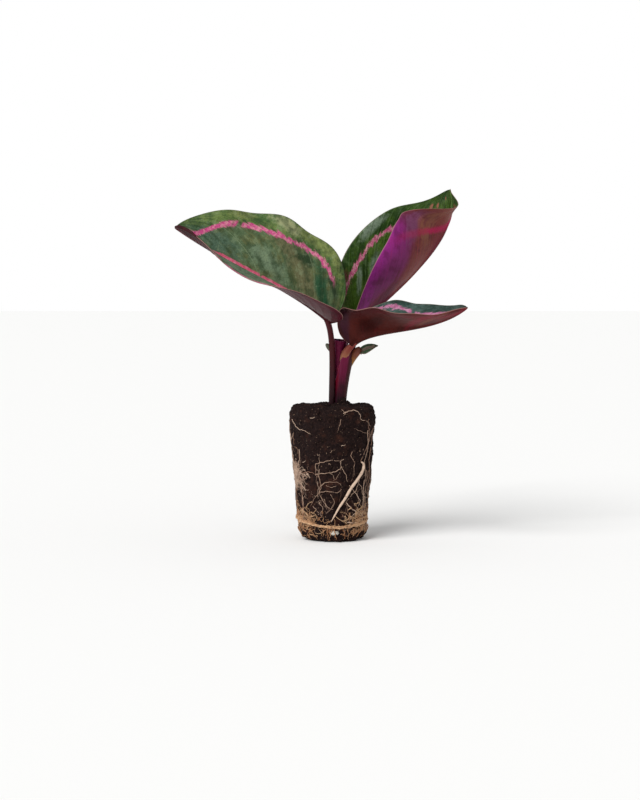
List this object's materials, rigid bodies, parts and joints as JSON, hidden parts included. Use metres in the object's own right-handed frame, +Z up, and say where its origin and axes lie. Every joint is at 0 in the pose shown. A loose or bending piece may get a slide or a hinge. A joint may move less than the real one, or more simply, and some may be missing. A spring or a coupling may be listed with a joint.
{
  "type": "calathea plug plant",
  "caption": "Young prayer plant with ringed, purple-backed leaves on a sheathed stem, standing on a bare tapered soil plug wrapped in roots.",
  "frame": {"origin": "centre of the flat foot of the soil plug", "axes": "+Z up along the stem, -Y towards the front from which the leaves are seen in the picture, +X to the right"},
  "size_m": [0.1215, 0.0618, 0.1513],
  "materials": {
    "soil": "rough moist peat",
    "root": "matte fibrous",
    "root_mat": "matte fibrous",
    "perlite": "matte porous",
    "stem": "satin",
    "leaf_green": "satin, waxy",
    "leaf_dark": "satin, waxy"
  },
  "bodies": {
    "root": {"soil_plug": "soil", "root_net": "root", "root_mat": "root_mat", "white_bead": "perlite", "grey_bead": "perlite", "sheath": "stem", "left_petiole": "stem", "upright_petiole": "stem", "right_petiole": "stem", "left_leaf": "leaf_green", "small_leaf": "leaf_green", "upright_leaf": "leaf_dark", "right_leaf": "leaf_dark"}
  },
  "joints": []
}
